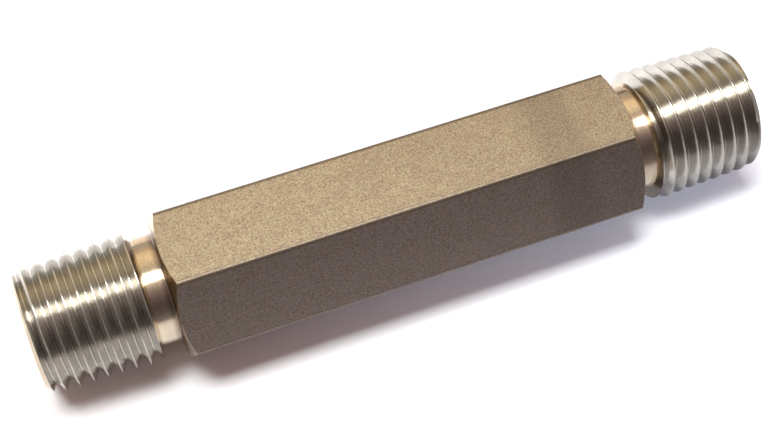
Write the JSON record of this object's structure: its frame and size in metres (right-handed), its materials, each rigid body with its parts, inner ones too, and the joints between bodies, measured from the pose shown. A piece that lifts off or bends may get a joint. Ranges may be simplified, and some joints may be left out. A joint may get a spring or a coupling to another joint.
{
  "type": "hex nipple",
  "caption": "Long hexagonal pipe nipple of stainless bar with a male taper pipe thread on each end, a turned neck behind each thread, and a hole right through.",
  "frame": {"origin": "centre of the fitting, on the axis of its bore at mid length", "axes": "+X along the bore towards one threaded end, +Z square to the hexagon's upper flat, the fitting lying on its lower flat"},
  "size_m": [0.0762, 0.0164, 0.0142],
  "materials": {
    "stainless_steel": "matte drawn flats on the hexagon, bright turned necks and threads"
  },
  "bodies": {
    "root": {"nipple_body": "stainless_steel"}
  },
  "joints": []
}
